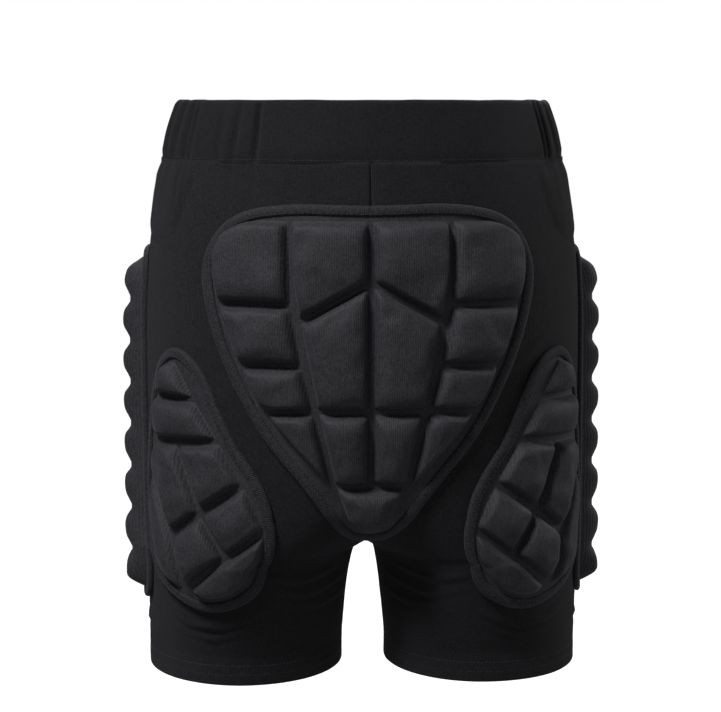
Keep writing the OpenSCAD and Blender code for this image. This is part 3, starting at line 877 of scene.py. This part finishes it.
def block_share(u, v, cell, crisp, wall):
    """The share of full height at each point: a steep wall and a crown, pinched in the corners."""
    share_up = np.ones(np.shape(u))
    for edges in block_sides(cell):
        away, slope = [], []
        for (ax, ay), (bx, by) in edges:
            length = math.hypot(bx - ax, by - ay)
            away.append(((bx - ax) * (v - ay) - (by - ay) * (u - ax)) / length - CHANNEL_HALF)
            slope.append((bx - ax) / length)
        nearest = np.exp(-np.clip(away, -0.02, 0.09) / CORNER_SOFT)
        near = -CORNER_SOFT * np.log(np.sum(nearest, axis=0))
        reach = CROWN_REACH + CROWN_LEAN * np.mean(slope)
        crown = 1 - (1 - np.clip(near / reach, 0, 1)) ** 3.0
        steep = 1 - (1 - np.clip(near / WALL_REACH, 0, 1)) ** 2.2
        share_up = share_up * mix(crown, steep, wall)
    return share_up**crisp


def block_heights(u, v, cells, foam, seed, crisp, wall):
    """The height of the blocks, each a little different in size and tilt."""
    chance = np.random.default_rng(seed)
    height = np.zeros(np.shape(u))
    for cell in cells:
        low, high = np.min(cell, axis=0) - 0.004, np.max(cell, axis=0) + 0.004
        near = (u > low[0]) & (u < high[0]) & (v > low[1]) & (v < high[1])
        size, lean_u, lean_v = chance.uniform(0.95, 1.04), *chance.uniform(-0.5, 0.5, 2)
        if near.any():
            middle = np.mean(cell, axis=0)
            tilt = 1 + lean_u * (u[near] - middle[0]) + lean_v * (v[near] - middle[1])
            rise = foam * size * block_share(u[near], v[near], cell, crisp, wall)
            height[near] = np.maximum(height[near], rise * tilt)
    return height


# %% The cloth simulation
PRESSURE, SWELL_FRAMES, SWELL_MOST = 2.0, 8, 1.4 * MM


def swell(points, hold):
    """Movement of a grid of cloth with pressure under it; hold is 1 where it is sewn down."""
    rows, cols = points.shape[:2]
    face = new_mesh("swelling", points.reshape(-1, 3), grid_faces(rows, cols))
    sewn = face.vertex_groups.new(name="sewn")
    levels = np.round(hold.ravel(), 1)
    for level in np.unique(levels):
        sewn.add(np.flatnonzero(levels == level).tolist(), float(level), "REPLACE")
    cloth = face.modifiers.new("cloth", "CLOTH")
    settings = cloth.settings
    settings.quality, settings.mass = 4, 0.12
    settings.tension_stiffness = settings.compression_stiffness = 20
    settings.bending_stiffness = 0.4
    settings.tension_damping = settings.compression_damping = 12
    settings.use_pressure, settings.uniform_pressure_force = True, PRESSURE
    settings.vertex_group_mass, settings.shrink_min = "sewn", -0.05
    settings.effector_weights.gravity = 0
    cloth.collision_settings.use_collision = False
    cloth.point_cache.frame_start, cloth.point_cache.frame_end = 1, SWELL_FRAMES
    scene = bpy.context.scene
    for step in range(1, SWELL_FRAMES + 1):
        scene.frame_set(step)
    made = face.evaluated_get(bpy.context.evaluated_depsgraph_get()).to_mesh()
    after = np.zeros(len(made.vertices) * 3, np.float32)
    made.vertices.foreach_get("co", after)
    scene.frame_set(1)
    mesh = face.data
    bpy.data.objects.remove(face)
    bpy.data.meshes.remove(mesh)
    moved = after.reshape(points.shape) - points
    size = np.linalg.norm(moved, axis=-1, keepdims=True)
    print("  cloth moved", np.round(np.percentile(size, (50, 90, 100)) * 1000, 2), "mm")
    return moved * np.minimum(1, SWELL_MOST / np.maximum(size, 1e-9))


def calmed(grid, passes):
    """The grid with its finest wrinkles averaged away."""
    for _ in range(passes):
        wide = np.pad(grid, ((1, 1), (1, 1), (0, 0)), mode="edge")
        cross = wide[2:, 1:-1] + wide[:-2, 1:-1] + wide[1:-1, 2:] + wide[1:-1, :-2]
        grid = 0.5 * grid + 0.125 * cross
    return grid


def twice_as_fine(grid):
    """A grid with a point between each two, in both directions."""
    rows = np.zeros((grid.shape[0] * 2 - 1, *grid.shape[1:]))
    rows[::2], rows[1::2] = grid, (grid[1:] + grid[:-1]) / 2
    fine = np.zeros((rows.shape[0], grid.shape[1] * 2 - 1, *grid.shape[2:]))
    fine[:, ::2], fine[:, 1::2] = rows, (rows[:, 1:] + rows[:, :-1]) / 2
    return fine


# %% A pad's face, closed underneath
def closed_sheet(name, top, bottom, uv, side):
    """Two matching grids, mirrored to a side and joined round their rims into a closed mesh."""
    if side < 0:
        top, bottom, uv = (grid[:, ::-1] for grid in (top, bottom, uv))
    top, bottom = mirror_points(top, side), mirror_points(bottom, side)
    rows, cols = top.shape[:2]
    count = rows * cols
    rim = np.concatenate([np.arange(cols), np.arange(1, rows) * cols + cols - 1,
                          (rows - 1) * cols + np.arange(cols - 2, -1, -1),
                          np.arange(rows - 2, 0, -1) * cols])
    ahead = np.roll(rim, -1)
    walls = np.stack([rim, ahead, ahead + count, rim + count], axis=-1)
    faces = np.concatenate([grid_faces(rows, cols), grid_faces(rows, cols, start=count, flip=True), walls])
    points = np.concatenate([top.reshape(-1, 3), bottom.reshape(-1, 3)])
    both = np.concatenate([uv.reshape(-1, 2), uv.reshape(-1, 2)])
    return new_mesh(name, points, faces, both)


def pad_grid(edge, height, rows, cols):
    """(u, v) of a grid that fills an outline, row by row."""
    right = edge[edge[:, 0] >= -1e-9]
    right = right[np.argsort(-right[:, 1])]
    v = -height * np.linspace(0.0005, 0.9995, rows)
    half = np.interp(-v, -right[:, 1], right[:, 0])
    across = np.linspace(-1, 1, cols)
    return half[:, None] * across, np.repeat(v[:, None], cols, axis=1)


UNDERSIDE = 0.3 * MM


def pad_surface(edge, height, cells, foam, place, rows, cols, seed, floor=0, outer_drop=0,
                crisp=0.86, wall=0.5, tall=0.79):
    """The simulated top grid, the underside grid and the flat coordinates. floor is the share
    of the foam under the channels too, outer_drop thins the pad towards its outer side, and
    crisp, wall and tall shape its blocks."""
    u, v = pad_grid(edge, height, rows, cols)
    inside = signed_inside(u, v, edge)
    blocks = block_heights(u, v, cells, foam * (1 - floor), seed, crisp, wall)
    blocks = blocks * (1 - outer_drop * smooth((u / np.max(edge[:, 0]) - 0.1) / 0.8))
    ripple = wobble(np.stack([u * 1.6, v, 0 * u], axis=-1), 0.011, seed) * 0.08 * MM
    ripple = ripple * smooth(blocks / (4 * MM))
    base = mix(GAP, PAD_LAYER, smooth(inside / (2.5 * MM)))
    bed = foam * floor * (1 - (1 - np.clip((inside - BINDING_W) / (13 * MM), 0, 1)) ** 2.5)
    top = place(u, v, base + bed + tall * blocks + ripple)
    full = np.maximum(blocks, 1e-6) / (foam * (1 - floor))
    hold = 1 - smooth(full[::2, ::2] / 0.6)
    moved = calmed(swell(top[::2, ::2], hold), 6)
    top = top + twice_as_fine(moved) * smooth((full - 0.4) / 0.5)[..., None]
    return top, place(u, v, np.full(u.shape, UNDERSIDE)), np.stack([u, v], axis=-1)


print("pad makers ready")


def pad_face_piece(name, surface, side, nodes):
    piece = closed_sheet(name, *surface, side)
    return dress(piece, pad_face, "pad_face", *nodes)


def nodes_with(*words):
    return [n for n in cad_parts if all(w in n for w in words)]


seat_surface = pad_surface(seat_edge, SEAT_H, seat_cells, 0.0125, seat_place, 241, 205, 21)
seat_pad = pad_face_piece("seat_pad", seat_surface, 1, nodes_with("seat_foam"))
thigh_surface = pad_surface(thigh_edge, THIGH_H, thigh_cells, 0.0115, thigh_place, 201, 133, 33,
                            outer_drop=0.42)
side_surface = pad_surface(side_edge, SIDE_H, side_cells(), 0.0148, side_place, 221, 93, 45,
                           floor=0.68, crisp=1.15, wall=0, tall=0.88)
for word, side in SIDES.items():
    pad_face_piece(f"thigh_pad_{word}", thigh_surface, side, nodes_with("thigh_foam", word))
    pad_face_piece(f"side_pad_{word}", side_surface, side, nodes_with("side_foam", word))
print("seat pad:", len(seat_pad.data.polygons), "faces")


# %% The thin cloth under each pad
BACKING_SHARE = 0.985
BACKING_TOP, BACKING_FOOT = 0.25 * MM, -0.1 * MM


def pad_under(name, edge, height, place, side, node):
    """A backing cloth, cut a little smaller than the pad so the tape hides its edge."""
    u, v = pad_grid(edge, height, 61, 41)
    u, v = BACKING_SHARE * u, BACKING_SHARE * (v + height / 2) - height / 2
    top, bottom = (place(u, v, np.full(u.shape, h)) for h in (BACKING_TOP, BACKING_FOOT))
    piece = closed_sheet(name, top, bottom, np.stack([u, v], axis=-1), side)
    dress(piece, pad_backing, "pad_backing", node)


pad_under("seat_backing", seat_edge, SEAT_H, seat_place, 1, "seat_pad_backing")
for word, side in SIDES.items():
    pad_under(f"thigh_backing_{word}", thigh_edge, THIGH_H, thigh_place, side,
              f"thigh_pad_backing_{word}")
    pad_under(f"side_backing_{word}", side_edge, SIDE_H, side_place, side,
              f"side_pad_backing_{word}")
print("five backing cloths")

# %% [markdown]
# ## Binding tape
#
# Each pad's raw edge is wrapped in a ribbed stretch tape, sewn through with one row of
# stitches. The tape is a domed strip swept round the outline, slightly puckered by its
# stitches.

# %% Make the binding
TAPE_STEP, PUCKER = 1.3 * MM, 3.4 * MM
# (way in from the pad's edge, height off the cloth) in mm
TAPE_SECTION = [(-1.2, 0.35), (-1.5, 1.3), (-1.15, 2.6), (-0.2, 3.5), (1.3, 3.95), (3.2, 4.0),
                (4.8, 3.75), (6.0, 3.2), (6.5, 2.4), (5.0, 1.6), (1.5, 0.4)]


def binding(name, edge, place, side, node, seed):
    line = even(edge, TAPE_STEP)
    along = np.arange(len(line)) * TAPE_STEP
    pucker = 0.13 * MM * np.sin(along * 2 * np.pi / PUCKER)
    sway = wobble(np.stack([line[:, 0], line[:, 1], 0 * along], axis=-1), 0.014, seed) * 0.3 * MM
    rings = []
    for d, h in TAPE_SECTION + TAPE_SECTION[:1]:
        flat = inward(line, d * MM + sway)
        lift = (pucker + 0.4 * sway) * (1 if h > 2 else 0)
        rings.append(mirror_points(place(flat[:, 0], flat[:, 1], h * MM + lift), side))
    dress(tube(name, rings, along, 1.2 * MM, flip=side < 0), binding_tape, "binding_tape", node)


binding("seat_binding", seat_edge, seat_place, 1, "seat_pad_binding", 51)
for word, side in SIDES.items():
    binding(f"thigh_binding_{word}", thigh_edge, thigh_place, side,
            f"thigh_pad_binding_{word}", 53 + side)
    binding(f"side_binding_{word}", side_edge, side_place, side,
            f"side_pad_binding_{word}", 57 + side)
print("bindings made")

# %% [markdown]
# ## Hip pads
#
# A thin pad over each hip bone is sewn to the inside of the shell. Outside only its bulge and
# its stitched outline show; inside it is a soft cushion.

# %% Make the hip pads
QUILT = 16 * MM


def hip_pad(word, side):
    u, v = pad_grid(hip_pad_edge, HIP_PAD_H, 61, 81)
    inside = signed_inside(u, v, hip_pad_edge)
    soft = smooth(inside / 0.009)
    quilt = 0.25 * MM * np.cos(u * 2 * np.pi / QUILT) * np.cos(v * 2 * np.pi / QUILT) * soft
    near = hip_pad_place(u, v, -1.7 * MM - 0 * u)
    far = hip_pad_place(u, v, -2.2 * MM - 5.2 * MM * soft + quilt)
    piece = closed_sheet(f"hip_cushion_{word}", near, far, np.stack([u, v], axis=-1), side)
    dress(piece, foam_cloth, "foam", f"hip_pad_{word}")


for word, side in SIDES.items():
    hip_pad(word, side)
print("hip pads made")

# %% [markdown]
# ## Stitches
#
# A stitch is the same short thread over and over along a line, which is what Geometry Nodes
# are for. The tree takes a mesh of lines, walks along each one at an even spacing, puts a
# small rounded thread on every step, turned along the line, and makes them real. Every seam
# shares the tree and only its spacing, length and thickness differ.

# %% The stitch tree
def stitch_tree():
    tree = bpy.data.node_groups.new("stitches_on_lines", "GeometryNodeTree")
    face = tree.interface
    face.new_socket("Geometry", in_out="INPUT", socket_type="NodeSocketGeometry")
    for label, value in (("Spacing", 0.0034), ("Length", 0.0024), ("Thickness", 0.0003)):
        face.new_socket(label, in_out="INPUT", socket_type="NodeSocketFloat").default_value = value
    face.new_socket("Thread", in_out="INPUT", socket_type="NodeSocketMaterial")
    face.new_socket("Geometry", in_out="OUTPUT", socket_type="NodeSocketGeometry")
    add, link = tree.nodes.new, tree.links.new
    given, out = add("NodeGroupInput"), add("NodeGroupOutput")
    curves, steps = add("GeometryNodeMeshToCurve"), add("GeometryNodeResampleCurve")
    steps.mode = "LENGTH"
    tangent, turn = add("GeometryNodeInputTangent"), add("FunctionNodeAlignRotationToVector")
    turn.axis = "X"
    bead, size = add("GeometryNodeMeshIcoSphere"), add("ShaderNodeCombineXYZ")
    bead.inputs["Subdivisions"].default_value = 2
    bead.inputs["Radius"].default_value = 0.5
    place, real = add("GeometryNodeInstanceOnPoints"), add("GeometryNodeRealizeInstances")
    paint = add("GeometryNodeSetMaterial")
    for output, node, socket in (
            (given.outputs["Geometry"], curves, 0), (curves.outputs[0], steps, "Curve"),
            (given.outputs["Spacing"], steps, "Length"), (tangent.outputs[0], turn, "Vector"),
            (given.outputs["Length"], size, 0), (given.outputs["Thickness"], size, 1),
            (given.outputs["Thickness"], size, 2), (steps.outputs[0], place, "Points"),
            (bead.outputs["Mesh"], place, "Instance"), (turn.outputs[0], place, "Rotation"),
            (size.outputs[0], place, "Scale"), (place.outputs[0], real, 0),
            (real.outputs[0], paint, "Geometry"), (given.outputs["Thread"], paint, "Material"),
            (paint.outputs[0], out, 0)):
        link(output, node.inputs[socket])
    return tree


STITCHES = stitch_tree()


def sew(name, lines, spacing, length, thickness):
    """Stitches along open or closed lines of points, as one plain mesh that rides on the shorts."""
    points, edges = [], []
    for line in lines:
        start = len(points)
        points += [tuple(p) for p in line]
        edges += [(start + i, start + i + 1) for i in range(len(line) - 1)]
    mesh = bpy.data.meshes.new(name + "_lines")
    mesh.from_pydata(points, edges, [])
    guide = add_object(name + "_lines", mesh)
    nodes = guide.modifiers.new("stitches", "NODES")
    nodes.node_group = STITCHES
    ids = {s.name: s.identifier for s in STITCHES.interface.items_tree if s.in_out == "INPUT"}
    given = {"Spacing": spacing, "Length": length, "Thickness": thickness, "Thread": thread}
    for label, value in given.items():
        nodes[ids[label]] = value
    made = bpy.data.meshes.new_from_object(guide.evaluated_get(bpy.context.evaluated_depsgraph_get()))
    guide.modifiers.remove(nodes)
    bpy.data.objects.remove(guide)
    made.polygons.foreach_set("use_smooth", [True] * len(made.polygons))
    flat = made.uv_layers.new(name="cloth")
    flat.data.foreach_set("uv", np.zeros(len(made.loops) * 2, np.float32))
    piece = add_object(name, made)
    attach(piece, ROOT)
    print(name, len(made.polygons), "faces")


# %% Lines for the stitches to follow
TAPE_ROW_IN, TAPE_ROW_UP = 4.9 * MM, 3.85 * MM


def tape_row(edge, place, side):
    flat = inward(even(edge, 1.5 * MM), TAPE_ROW_IN)
    row = place(flat[:, 0], flat[:, 1], np.full(len(flat), TAPE_ROW_UP))
    return closed_line(mirror_points(row, side))


def on_shell(angle, z, side, lift):
    return mirror_points(skin(angle, z, shell_height(angle, z, side) + lift), side)


def hem_row(up, side):
    angle = np.linspace(-90, 270, 260)
    return on_shell(angle, np.full(260, -LEG_LENGTH + up), side, 0.12 * MM)


def hip_row(side):
    flat = even(inward(hip_pad_edge, 0.2 * MM), 1.5 * MM)
    flat = flat[flat[:, 1] < -2.5 * MM]
    start = int(np.argmax(np.linalg.norm(flat - np.roll(flat, 1, axis=0), axis=1)))
    flat = np.roll(flat, -start, axis=0)
    z = flat[:, 1] - HIP_PAD_DROP
    return on_shell(HIP_PAD_ANGLE + np.degrees(flat[:, 0] / mean_radius(z)), z, side, 0.45 * MM)


def band_row():
    angle = np.linspace(0, 360, 700)
    level = np.full(700, -BAND_H + 0.0022)
    return skin(angle, level, band_stand(angle, level, 0.35 * MM, 1.0) + 0.3 * MM)


tape_rows = [tape_row(seat_edge, seat_place, 1)]
hem_rows, hip_rows = [], []
for side in SIDES.values():
    tape_rows += [tape_row(thigh_edge, thigh_place, side), tape_row(side_edge, side_place, side)]
    hem_rows += [hem_row(up, side) for up in HEM_ROWS]
    hip_rows.append(hip_row(side))

sew("binding_stitches", tape_rows, 3.4 * MM, 2.5 * MM, 0.5 * MM)
sew("hem_stitches", hem_rows, 3.0 * MM, 2.3 * MM, 0.42 * MM)
sew("hip_pad_stitches", hip_rows, 3.0 * MM, 2.2 * MM, 0.42 * MM)
sew("waistband_stitches", [band_row()], 2.6 * MM, 1.7 * MM, 0.45 * MM)

# %% [markdown]
# ## Stage, light and camera
#
# Black cloth only shows its form by soft gradients. The stage is a white tent that the camera
# sees bright but that lights the cloth only a little, with one soft key above and to the left.
# Weaker lamps fill the right side and the legs, and two behind and beside show the other faces.

# %% Stage
def paper(name, brightness):
    material = bpy.data.materials.new(name)
    material.use_nodes = True
    shader = material.node_tree.nodes["Principled BSDF"]
    shader.inputs["Base Color"].default_value = (0.25, 0.25, 0.25, 1)
    shader.inputs["Roughness"].default_value = 0.9
    shader.inputs["Emission Color"].default_value = (1, 1, 1, 1)
    seen = material.node_tree.nodes.new("ShaderNodeLightPath")
    glow = material.node_tree.nodes.new("ShaderNodeMath")
    glow.operation = "MULTIPLY"
    glow.inputs[1].default_value = brightness
    material.node_tree.links.new(seen.outputs["Is Camera Ray"], glow.inputs[0])
    material.node_tree.links.new(glow.outputs[0], shader.inputs["Emission Strength"])
    return material


FLOOR_Z = -LEG_LENGTH - 0.25
FLOOR_HALF = 8
corners = [(x * FLOOR_HALF, y * FLOOR_HALF, FLOOR_Z) for x, y in ((-1, -1), (1, -1), (1, 1), (-1, 1))]
floor = new_mesh("floor", corners, [(0, 1, 2, 3)])
floor.data.materials.append(paper("pale_floor", 0.99))

TENT_LIGHT = 0.09
world = bpy.data.worlds.new("tent")
bpy.context.scene.world = world
world.use_nodes = True
sky = world.node_tree.nodes["Background"]
sky.inputs["Color"].default_value = (1, 1, 1, 1)
seen = world.node_tree.nodes.new("ShaderNodeLightPath")
strength = world.node_tree.nodes.new("ShaderNodeMapRange")
strength.inputs["To Min"].default_value = TENT_LIGHT
strength.inputs["To Max"].default_value = 1.0
world.node_tree.links.new(seen.outputs["Is Camera Ray"], strength.inputs["Value"])
world.node_tree.links.new(strength.outputs[0], sky.inputs["Strength"])


# %% Lights
def area_light(name, place, aim, size, power):
    data = bpy.data.lights.new(name, "AREA")
    data.shape, data.size, data.energy = "SQUARE", size, power
    lamp = add_object(name, data)
    lamp.location = place
    lamp.rotation_euler = (Vector(aim) - Vector(place)).to_track_quat("-Z", "Y").to_euler()


MIDDLE, LEG_ENDS = (0, 0, -0.2), (0, 0, -0.42)
area_light("key", (-0.75, -0.8, 1.1), MIDDLE, 0.42, 29)
area_light("fill", (1.6, -1.1, 0.3), MIDDLE, 1.2, 3)
area_light("low_fill", (-0.1, -1.5, -0.75), LEG_ENDS, 0.6, 3.0)
area_light("rim", (0.2, 1.6, 1.2), MIDDLE, 1.0, 24)
area_light("side_fill", (1.9, 0.6, 0.4), MIDDLE, 0.9, 13)

# %% Camera
EYE_DISTANCE, EYE_SIDE, AIM_SIDE = 1.4, math.radians(-3.0), math.radians(-2.935)
LENS, SENSOR, SHIFT = 91.4, 36, -0.10
AIM_Z = -0.197
camera_data = bpy.data.cameras.new("camera")
camera_data.lens, camera_data.sensor_width, camera_data.shift_y = LENS, SENSOR, SHIFT
camera = add_object("camera", camera_data)
camera.location = (math.sin(EYE_SIDE) * EYE_DISTANCE, -math.cos(EYE_SIDE) * EYE_DISTANCE, 0)
# the frame's shift takes up part of the way down to the middle of the shorts
down = math.atan2(-AIM_Z, EYE_DISTANCE) + math.atan(SHIFT * SENSOR / LENS)
camera.rotation_euler = (math.pi / 2 - down, 0, AIM_SIDE)
bpy.context.scene.camera = camera
bpy.context.scene.view_settings.view_transform = "Standard"
print("camera at", tuple(round(c, 3) for c in camera.location), "tilt", round(math.degrees(down), 2))
